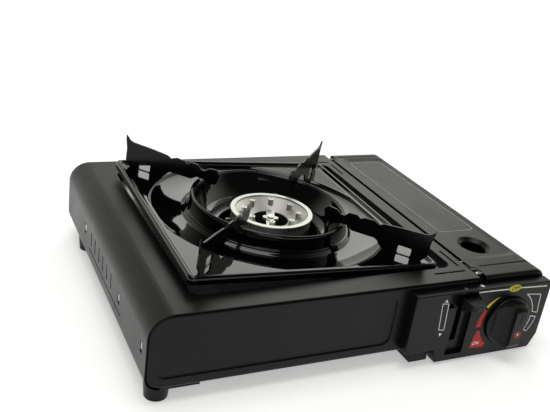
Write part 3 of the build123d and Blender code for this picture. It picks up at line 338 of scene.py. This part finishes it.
# Steatite tube of the electrode, glazed: cream white and shiny.
ceramic = coated("glazed ceramic", "#e9e6dc", "#f5f3ec", roughness=0.18,
                 grain=3.0, grain_height=0.01)


def printing_ink(name, colour, thin):
    """Pad-printing ink: a matt film, slightly thin in places."""
    return coated(name, colour, thin, roughness=0.6, grain=0.5, grain_height=0.01)


white_ink = printing_ink("white printing ink", "#f0f1ef", "#f6f6f4")
yellow_ink = printing_ink("yellow printing ink", "#d8c81e", "#e8dc4a")
red_ink = printing_ink("red printing ink", "#c32a20", "#d4473c")
black_ink = printing_ink("black printing ink", "#15160f", "#2a2b22")
grey_ink = printing_ink("grey printing ink", "#a6a8a5", "#bcbebb")

slots = {
    "black_coat": powder_coat,
    "black_enamel": enamel,
    "galvanised": galvanised,
    "cast_aluminium": cast_aluminium,
    "die_cast": die_cast,
    "plated_steel": plated,
    "jet_brass": brass,
    "black_plastic": abs_black,
    "red_plastic": abs_red,
    "lead_sleeve": silicone,
    "white_ceramic": ceramic,
}
for part in frame["record"]["subparts"]:
    shown = nodes[part["node"]]
    shown.data.materials.clear()
    shown.data.materials.append(slots[part["material_slot"]])
for name in ("pot_support_1", "pot_support_2", "pot_support_3", "pot_support_4"):
    nodes[name].data.materials[0] = support_enamel
nodes["burner_body"].data.materials[0] = burnt_aluminium


# ---- enamelled pan and its collar ----
PRESSED_SHEET = 0.6 * MM

# The pan from its skirt over the rolled edge into the well, as rounded squares: half the width,
# corner radius and height, in millimetres.
PAN_SQUARES = (
    (106.5, 5.0, -6.5), (106.5, 5.0, -4.2), (106.5, 5.0, -2.6), (106.1, 5.0, -0.9),
    (105.2, 4.6, -0.1), (104.2, 4.0, 0.0), (103.2, 3.8, -0.1), (102.6, 4.5, -1.0),
    (101.6, 5.0, -2.3), (100.6, 5.0, -2.5), (99.4, 5.0, -2.5),
)
# The well, down into the dish and in to the neck, as circles: radius and height.
PAN_CIRCLES = (
    (103.0, -2.5), (102.0, -2.5), (101.4, -2.8), (99.8, -4.2), (97.6, -5.3), (93.4, -6.5),
    (87.0, -7.6), (81.0, -8.0), (76.0, -8.0), (73.6, -7.9), (72.6, -7.2), (71.0, -5.9),
    (70.2, -5.66), (67.6, -5.66), (64.1, -5.66),
)
WELL_HALF, WELL_CORNER = 98.6, 5.0  # where the well's straight sides cut the circles off

# The collar from the bowl's hole over the rolled rim and down its wall: radius and height.
COLLAR_PROFILE = (
    (46.4, -14.2), (46.8, -13.4), (49.0, -12.4), (53.0, -10.8), (56.5, -7.0), (60.2, -1.5),
    (62.6, 3.6), (63.8, 6.0), (64.6, 6.6), (65.1, 6.7), (65.5, 7.3), (66.2, 7.6), (66.9, 7.4),
    (67.4, 6.8), (67.7, 5.8), (68.0, 3.0), (68.5, -2.0), (68.9, -4.2), (69.4, -4.9),
    (70.0, -5.0), (70.5, -5.0),
)


def ring_turns():
    """Directions round the pan, closer together at the four corners."""
    corner, side = 15, 50
    quarter = np.concatenate([np.linspace(-45, -38, corner)[:-1], np.linspace(-38, 38, side)[:-1],
                              np.linspace(38, 45, corner)[:-1]])
    return np.radians(np.concatenate([quarter + 90 * i for i in range(4)]))


def drip_pan():
    """Rings from the skirt to the neck: rounded squares outside, circles inside, one height each; a
    smooth curve runs down through them in every direction."""
    turn = ring_turns()
    well = square_radius(turn, WELL_HALF * MM, WELL_CORNER * MM)
    radii = [square_radius(turn, half * MM, corner * MM) for half, corner, _ in PAN_SQUARES]
    radii += [np.minimum(radius * MM, well) for radius, _ in PAN_CIRCLES]
    heights = [np.full(turn.shape, ring[-1] * MM) for ring in PAN_SQUARES + PAN_CIRCLES]
    radius = rounded(np.array(radii), 2)
    height = rounded(np.array(heights), 2)
    grid = np.stack([radius * np.cos(turn), radius * np.sin(turn), height], axis=-1)
    pan = surface("enamelled_pan", put_on_pan(grid))
    thicken(pan, PRESSED_SHEET)
    return pan


def wind_collar():
    """Spun ring: dark bowl, rolled rim, wall, ledge and lower wall, as one smooth profile turned
    about the burner's axis."""
    grid = spun(rounded(np.array(COLLAR_PROFILE) * MM, 3), 224)
    collar = surface("wind_collar_ring", put_on_pan(grid), outward=False)
    thicken(collar, PRESSED_SHEET)
    return collar


pan = drip_pan()
pan.data.materials.append(enamel)
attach(pan, "pan")
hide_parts("drip_pan")
collar = wind_collar()
collar.data.materials.append(enamel)
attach(collar, "pan")
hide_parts("wind_collar")


# ---- printing on the control box, the knob and the lid ----
# Flat shapes are drawn in millimetres: across from the stove's middle and up from the table, or
# across and back on the lid. Directions are in degrees, 0 to the right and 90 up.
INK = 0.06 * MM  # thickness of the ink film
LID_FIELD_DROP = 1.5 * MM  # sunk field below the lid's top
PIN_HOLE = 0.02  # where a filled shape starts, as a share of its size
LETTER_SLANT = 0.25
LETTER_WEIGHT = 0.02  # thickening of the strokes, as a share of the letters' height

knob_at = (knob_middle[0] / MM, knob_middle[2] / MM)
scale_line_z = fascia_high[2] / MM - 2.6


def upright(flat, depth):
    """Flat points stood up, facing the front, at a place from front to back."""
    flat = np.asarray(flat, float) * MM
    return np.stack([flat[..., 0], np.full(flat.shape[:-1], depth), flat[..., 1]], axis=-1)


def on_front(flat):
    """Flat points laid on the control box's front."""
    return upright(flat, fascia_front - INK)


def on_grip(flat):
    """Flat points laid on the flat front of the knob's grip."""
    return upright(flat, knob_low[1] - INK / 4)


def on_lid(flat):
    """Flat points laid in the lid's sunk field."""
    flat = np.asarray(flat, float) * MM
    height = np.full(flat.shape[:-1], lid_top - LID_FIELD_DROP + INK)
    return np.stack([flat[..., 0], flat[..., 1], height], axis=-1)


def between(first, second, rows=6):
    """Grid of points that blends from one path to another, both with as many points."""
    share = np.linspace(0, 1, rows)[:, None, None]
    return (1 - share) * np.asarray(first, float) + share * np.asarray(second, float)


def filled(outline, middle):
    """Grid of points from a pin hole in the middle out to a closed outline."""
    heart = np.broadcast_to(np.asarray(middle, float), outline.shape)
    return between(heart + PIN_HOLE * (outline - heart), outline)


def arc(middle, radius, start, stop, count=24):
    """Points along an arc between two directions; a pair of radii grows along it."""
    turn = np.radians(np.linspace(start, stop, count))
    reach = np.linspace(*radius, count) if np.ndim(radius) else np.full(count, radius)
    return np.stack([middle[0] + reach * np.cos(turn), middle[1] + reach * np.sin(turn)], axis=-1)


def along(points, count):
    """Points spaced evenly along a path of straight runs."""
    points = np.asarray(points, float)
    runs = np.concatenate([[0], np.cumsum(np.linalg.norm(np.diff(points, axis=0), axis=1))])
    place = np.linspace(0, runs[-1], count)
    return np.stack([np.interp(place, runs, points[:, i]) for i in range(2)], axis=-1)


def closed_path(points, count=120):
    """A closed path of straight runs, spaced evenly, without its first point again at the end."""
    return along(np.concatenate([points, points[:1]]), count + 1)[:-1]


def ribbon(path, width, closed=True):
    """Two rows, half a width to each side of a path: a printed line."""
    path = np.asarray(path, float)
    if closed:
        ahead = np.roll(path, -1, axis=0) - np.roll(path, 1, axis=0)
    else:
        ahead = np.gradient(path, axis=0)
    ahead /= np.linalg.norm(ahead, axis=1, keepdims=True)
    side = np.stack([-ahead[:, 1], ahead[:, 0]], axis=-1) * width / 2
    return np.stack([path - side, path + side])


def rounded_frame(left, right, low, high, corner, count=200):
    """Closed path round a rectangle with rounded corners, evenly spaced."""
    centres = ((right - corner, high - corner), (left + corner, high - corner),
               (left + corner, low + corner), (right - corner, low + corner))
    quarters = [arc(at, corner, 90 * i, 90 * i + 90, 12) for i, at in enumerate(centres)]
    return closed_path(np.concatenate(quarters), count)


def printed(name, ink, grids, lay, closed=False):
    """Ink laid down as thin flat surfaces, all of one colour."""
    films = [surface(name + "_%d" % i, lay(grid), around=closed) for i, grid in enumerate(grids)]
    piece = join(name, films)
    piece.data.materials.append(ink)
    return piece


def lettering(name, words, height, place, ink):
    """Plain capitals, standing on the control box's front, made a mesh."""
    curve = bpy.data.curves.new(name, "FONT")
    curve.body = words
    curve.size = height * MM
    curve.shear = LETTER_SLANT
    curve.offset = LETTER_WEIGHT * height * MM
    curve.align_x = "CENTER"
    curve.align_y = "CENTER"
    text = bpy.data.objects.new(name, curve)
    bpy.context.scene.collection.objects.link(text)
    mesh = bpy.data.meshes.new_from_object(text)
    bpy.data.objects.remove(text)
    across, up = place
    stood = Matrix.Rotation(math.radians(90), 4, "X")
    laid = Matrix.Translation((across * MM, fascia_front - 2.5 * INK, up * MM))
    mesh.transform(laid @ stood)
    made = bpy.data.objects.new(name, mesh)
    bpy.context.scene.collection.objects.link(made)
    made.data.materials.clear()
    made.data.materials.append(ink)
    return made


def scale_line():
    """Line along the control box's top edge, in two lengths, broken by the badge."""
    across = knob_at[0]
    right = fascia_high[0] / MM
    left_run = along([(across - 37, scale_line_z + 0.5), (across - 6.6, scale_line_z)], 8)
    right_run = along([(across + 6.6, scale_line_z - 0.2), (right - 5, scale_line_z - 1.6)], 8)
    runs = [ribbon(run, width=1.0, closed=False) for run in (left_run, right_run)]
    return printed("white_scale_line", white_ink, runs, on_front)


def scale_outlines():
    """Three outlined fields round the knob's right side, the top one filling the box's corner."""
    inner = arc(knob_at, 26.8, 56, 9)
    corner_run = along([inner[-1], (163.0, 36.9), (161.0, 54.8), inner[0]], 60)
    fields = [np.concatenate([corner_run[:-1], inner[:-1]])]
    for inner, outer in (
        (arc(knob_at, 26.3, 0, -31), arc(knob_at, (32.2, 30.6), -3, -29)),
        (arc(knob_at, 26.2, -38, -70), arc(knob_at, (28.4, 26.9), -39, -68)),
    ):
        fields.append(np.concatenate([inner, outer[::-1]]))
    lines = [ribbon(closed_path(field), width=0.7) for field in fields]
    return printed("white_scale_outlines", white_ink, lines, on_front, closed=True)


def off_badge():
    """Filled oval on the scale line, above the knob: cosine across, sine up."""
    turn = np.linspace(0, 2 * np.pi, 64, endpoint=False)
    oval = np.stack([knob_at[0] + 6.4 * np.cos(turn),
                     scale_line_z + 0.1 + 3.1 * np.sin(turn)], axis=-1)
    return printed("yellow_off_badge", yellow_ink, [filled(oval, oval.mean(0))], on_front,
                   closed=True)


def yellow_bar():
    """Bar round the knob's upper left that widens from low flame on."""
    bar = between(arc(knob_at, 26.4, 121, 149), arc(knob_at, (26.8, 29.6), 121, 149))
    return printed("yellow_scale_bar", yellow_ink, [bar], on_front)


def red_marks():
    """The same bar further on, then the wide field of full flame with straight outer edges."""
    growing = between(arc(knob_at, (25.6, 25.6), 154, 188), arc(knob_at, (28.6, 30.8), 154, 187))
    outer = along([(102.2, 27.2), (100.4, 20.5), (98.8, 11.4), (112.4, 10.4)], 24)
    wide = between(arc(knob_at, 26.4, 196, 232), outer)
    return printed("red_scale_marks", red_ink, [growing, wide], on_front)


def control_print():
    """Scale round the knob: off at the top, a growing flame mark from yellow to red down to on."""
    scale = [scale_line(), scale_outlines(), off_badge(), yellow_bar(), red_marks()]
    off_place = (knob_at[0] + 0.2, scale_line_z + 0.1)
    return scale + [
        lettering("off_letters", "OFF", 4.6, off_place, black_ink),
        lettering("on_letters", "ON", 4.4, (104.0, 15.2), white_ink),
    ]


def lever_print():
    """Travel mark beside the lever: a plain frame between two arrowheads."""
    frame_corners = [(60.2, 58.2), (66.0, 57.5), (67.6, 33.2), (62.4, 34.2)]
    mark = ribbon(closed_path(frame_corners), width=0.6)
    box_line = printed("lever_mark_frame", white_ink, [mark], on_front, closed=True)
    up = between([(63.2, 61.8), (63.3, 61.8)], [(61.5, 59.4), (64.9, 59.0)])
    down = between([(64.8, 27.8), (64.9, 27.8)], [(63.3, 30.9), (66.5, 30.3)])
    heads = printed("lever_mark_arrows", white_ink, [up, down], on_front)
    return [box_line, heads]


def spark_mark():
    """Plain ring with a drop in it, as the knob also works the igniter. The drop's width follows
    the sine of the direction times that of half of it, so it closes to a point at one end."""
    middle = (knob_at[0] + 0.9, knob_at[1] - 5.5)
    ring = ribbon(arc(middle, 2.9, 0, 354, 60), width=0.9)
    turn = np.linspace(0, 2 * np.pi, 40, endpoint=False)
    drop = np.stack([middle[0] + 1.2 * np.sin(turn) * np.sin(turn / 2),
                     middle[1] - 1.5 * np.cos(turn)], axis=-1)
    return [printed("red_spark_ring", red_ink, [ring], on_grip, closed=True),
            printed("white_spark_drop", white_ink, [filled(drop, middle)], on_grip, closed=True)]


def label_frame():
    """Printed line round the bare label place in the lid's field."""
    path = rounded_frame(left=118.8, right=157.0, low=-41.0, high=124.0, corner=5.0)
    return printed("lid_label_line", grey_ink, [ribbon(path, width=0.7)], on_lid, closed=True)


for piece in control_print() + lever_print():
    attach(piece, "stove")
for piece in spark_mark():
    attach(piece, "knob")
label = label_frame()
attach(label, "lid")


# ---- floor, world and lamps ----
FLOOR_HALF = 6.0
GLOW_FROM, GLOW_TO = 0.7, 1.8  # distances over which the floor's shown glow rises
GLOW_NEAR, GLOW_FAR = 0.4, 0.74
SWEEP_WAY = (0.46, 0.89, 0.0)  # towards the pale sheet behind the stove
SHEET_SIDES = (-0.2, 0.45)  # cosine of the angle to that way where the sheet ends and is full
SHEET_FADE = (0.42, 0.95)  # heights, as sines, over which it fades upwards
DARK_LEVEL = 0.06  # what a gloss shows away from the sheet
MATT_LEVEL = 0.3  # the world's light on matt faces
# Name, place, width and power of each softbox.
SOFTBOXES = (
    ("top softbox", (-0.25, -0.1, 1.5), 0.9, 9.5),
    ("back softbox", (0.9, 1.5, 1.3), 1.2, 7.0),
    ("front softbox", (-0.5, -1.5, 0.5), 0.9, 2.6),
)
AIM = (0, 0, 0.05)


def shown_rays(material):
    """1 for rays that show the background: straight to the camera, in a gloss, or through glass."""
    path = add(material, "ShaderNodeLightPath")
    seen = add(material, "ShaderNodeMath", {0: path.outputs["Is Camera Ray"],
                                            1: path.outputs["Is Glossy Ray"]}, operation="MAXIMUM")
    clear = add(material, "ShaderNodeMath", {0: seen.outputs[0],
                                             1: path.outputs["Is Transmission Ray"]},
                operation="MAXIMUM")
    return clear.outputs[0]


def white_sweep():
    """Matt white floor whose shown brightness rises with the distance from the stove."""
    sheet = blank("white sweep")
    ground = add(sheet, "ShaderNodeBsdfDiffuse", {"Color": linear("#f9f9f9")})
    shown = shown_rays(sheet)
    place = add(sheet, "ShaderNodeTexCoord").outputs["Object"]
    away = add(sheet, "ShaderNodeVectorMath", {0: place}, operation="LENGTH")
    rise = add(sheet, "ShaderNodeMapRange",
               {"Value": away.outputs["Value"], "From Min": GLOW_FROM, "From Max": GLOW_TO,
                "To Min": GLOW_NEAR, "To Max": GLOW_FAR}, interpolation_type="SMOOTHSTEP")
    lift = add(sheet, "ShaderNodeMath", {0: shown, 1: rise.outputs[0]}, operation="MULTIPLY")
    glow = add(sheet, "ShaderNodeEmission", {"Strength": lift.outputs[0]})
    both = add(sheet, "ShaderNodeAddShader", {0: ground.outputs[0], 1: glow.outputs[0]})
    add(sheet, "ShaderNodeOutputMaterial", {"Surface": both.outputs[0]})
    return sheet


def lay_floor():
    """Flat square at the table's height."""
    half = FLOOR_HALF
    grid = np.array([[[-half, -half, 0], [half, -half, 0]], [[-half, half, 0], [half, half, 0]]])
    floor = surface("floor", grid, around=False)
    floor.data.materials.append(white_sweep())


def hang_sky():
    """World: white to the camera and dim on matt faces. A gloss shows a pale sheet that fades with
    height and away from the direction behind the stove."""
    world = bpy.data.worlds.new("studio")
    bpy.context.scene.world = world
    world.use_nodes = True
    world.node_tree.nodes.clear()
    way = add(world, "ShaderNodeTexCoord").outputs["Generated"]
    height = add(world, "ShaderNodeSeparateXYZ", {"Vector": way}).outputs["Z"]
    low = add(world, "ShaderNodeMapRange",
              {"Value": height, "From Min": SHEET_FADE[0], "From Max": SHEET_FADE[1],
               "To Min": 1.0, "To Max": 0.0}, interpolation_type="SMOOTHSTEP")
    behind = add(world, "ShaderNodeVectorMath", {0: way, 1: SWEEP_WAY}, operation="DOT_PRODUCT")
    sheet = add(world, "ShaderNodeMapRange",
                {"Value": behind.outputs["Value"], "From Min": SHEET_SIDES[0],
                 "From Max": SHEET_SIDES[1]}, interpolation_type="SMOOTHSTEP")
    sweep = add(world, "ShaderNodeMath", {0: low.outputs[0], 1: sheet.outputs[0]},
                operation="MULTIPLY")
    mirrored = add(world, "ShaderNodeMapRange", {"Value": sweep.outputs[0],
                                                 "To Min": DARK_LEVEL})
    unseen = add(world, "ShaderNodeMix", {SHARE: shown_rays(world), NUMBER_A: MATT_LEVEL,
                                          NUMBER_B: mirrored.outputs[0]})
    seen = add(world, "ShaderNodeLightPath").outputs["Is Camera Ray"]
    level = add(world, "ShaderNodeMix", {SHARE: seen, NUMBER_A: unseen.outputs[0],
                                         NUMBER_B: 1.0})
    tint = add(world, "ShaderNodeMix", {SHARE: seen, COLOUR_A: linear("#fdfff3"),
                                        COLOUR_B: linear("#ffffff")}, data_type="RGBA")
    sky = add(world, "ShaderNodeBackground", {"Color": tint.outputs[2],
                                              "Strength": level.outputs[0]})
    add(world, "ShaderNodeOutputWorld", {"Surface": sky.outputs[0]})


def hang_softboxes():
    """Square lamps, all aimed at the stove."""
    for name, place, size, power in SOFTBOXES:
        light = bpy.data.lights.new(name, "AREA")
        light.size = size
        light.energy = power
        lamp = bpy.data.objects.new(name, light)
        lamp.location = place
        aim = Vector(AIM) - Vector(place)
        lamp.rotation_euler = aim.to_track_quat("-Z", "Y").to_euler()
        bpy.context.scene.collection.objects.link(lamp)


lay_floor()
hang_sky()
hang_softboxes()
bpy.context.scene.view_settings.view_transform = "Standard"
